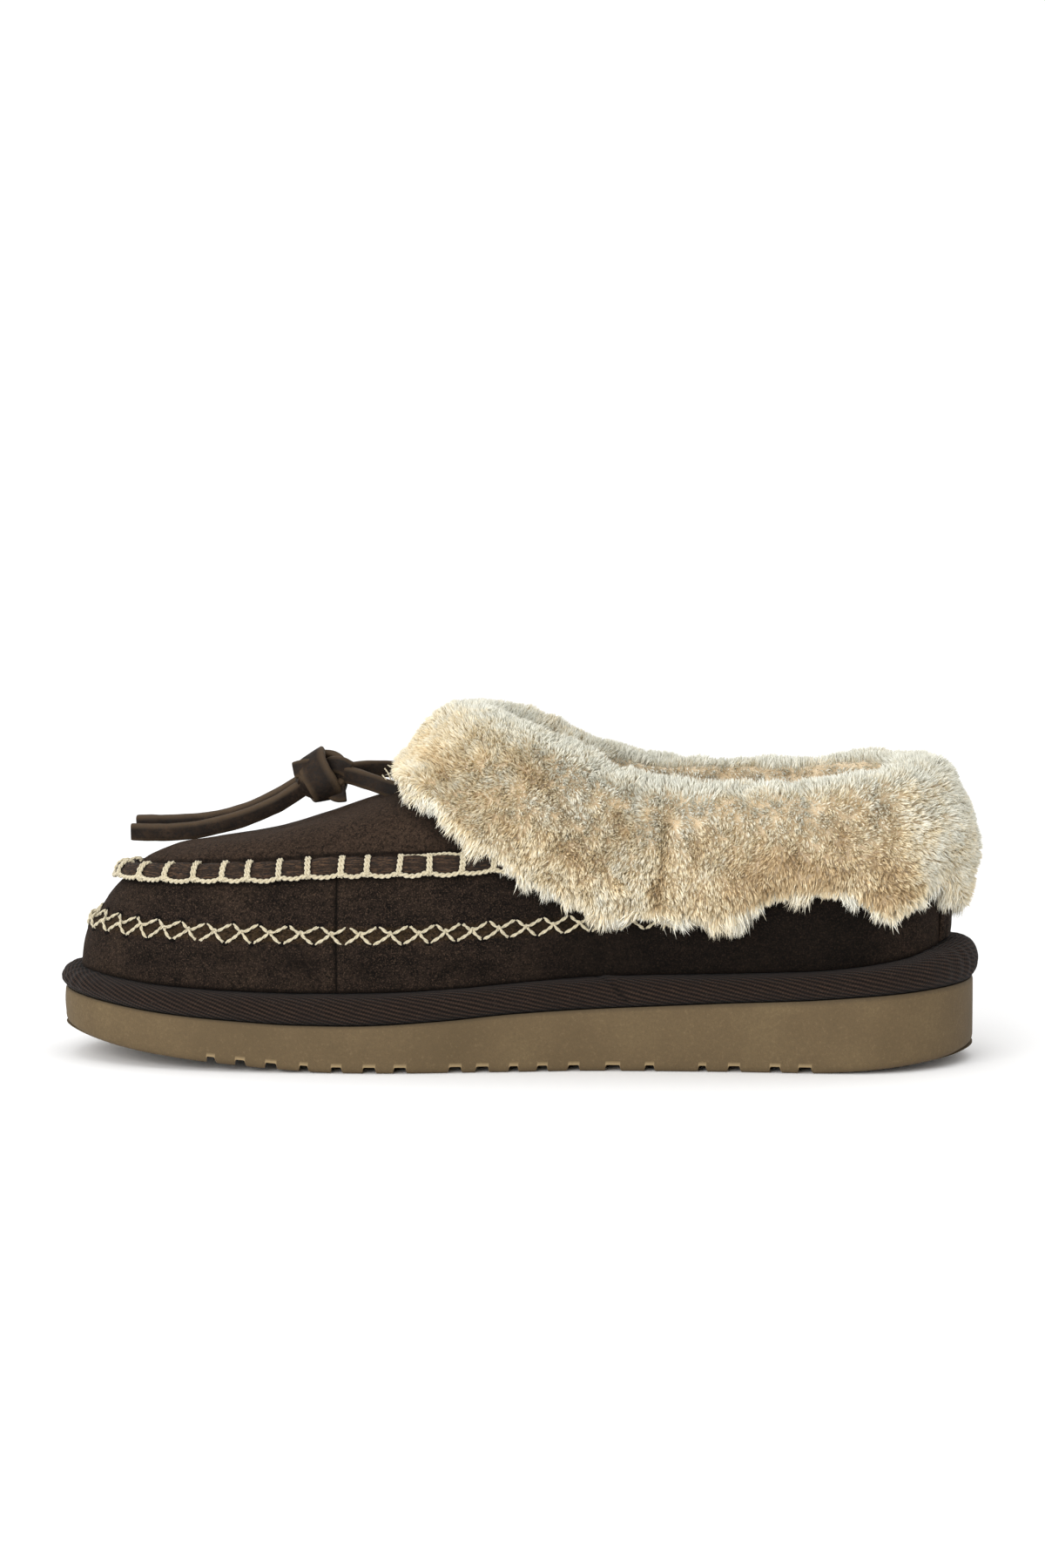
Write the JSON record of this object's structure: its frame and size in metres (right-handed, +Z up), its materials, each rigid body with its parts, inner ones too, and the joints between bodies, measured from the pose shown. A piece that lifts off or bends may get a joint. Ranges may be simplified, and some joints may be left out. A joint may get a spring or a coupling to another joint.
{
  "type": "sheepskin slipper shoe",
  "caption": "Low suede moccasin slipper with a raised seam round the toe, a turned-down sheepskin cuff, a knotted thong and a wedge sole with a chevron tread.",
  "frame": {"origin": "on the floor, at the middle of the shoe's length and width", "axes": "+Z up, toe towards -X, heel towards +X, inner (medial) side of this right shoe towards -Y"},
  "size_m": [0.2694, 0.105, 0.1034],
  "materials": {
    "sole_foam": "matt, finely speckled",
    "tape": "diagonal twill weave",
    "suede": "suede nap",
    "fleece": "deep sheepskin pile",
    "thong": "smooth waxed leather with matt cut edges"
  },
  "bodies": {
    "root": {"outsole": "sole_foam", "midsole": "tape", "insole": "fleece", "upper": "suede", "moc_seam_roll": "suede", "heel_strip": "suede", "cuff_instep": "fleece", "cuff_heel": "fleece", "lace_near": "thong", "lace_far": "thong", "lace_knot": "thong", "lace_end_near": "thong", "lace_end_far": "thong"}
  },
  "joints": []
}
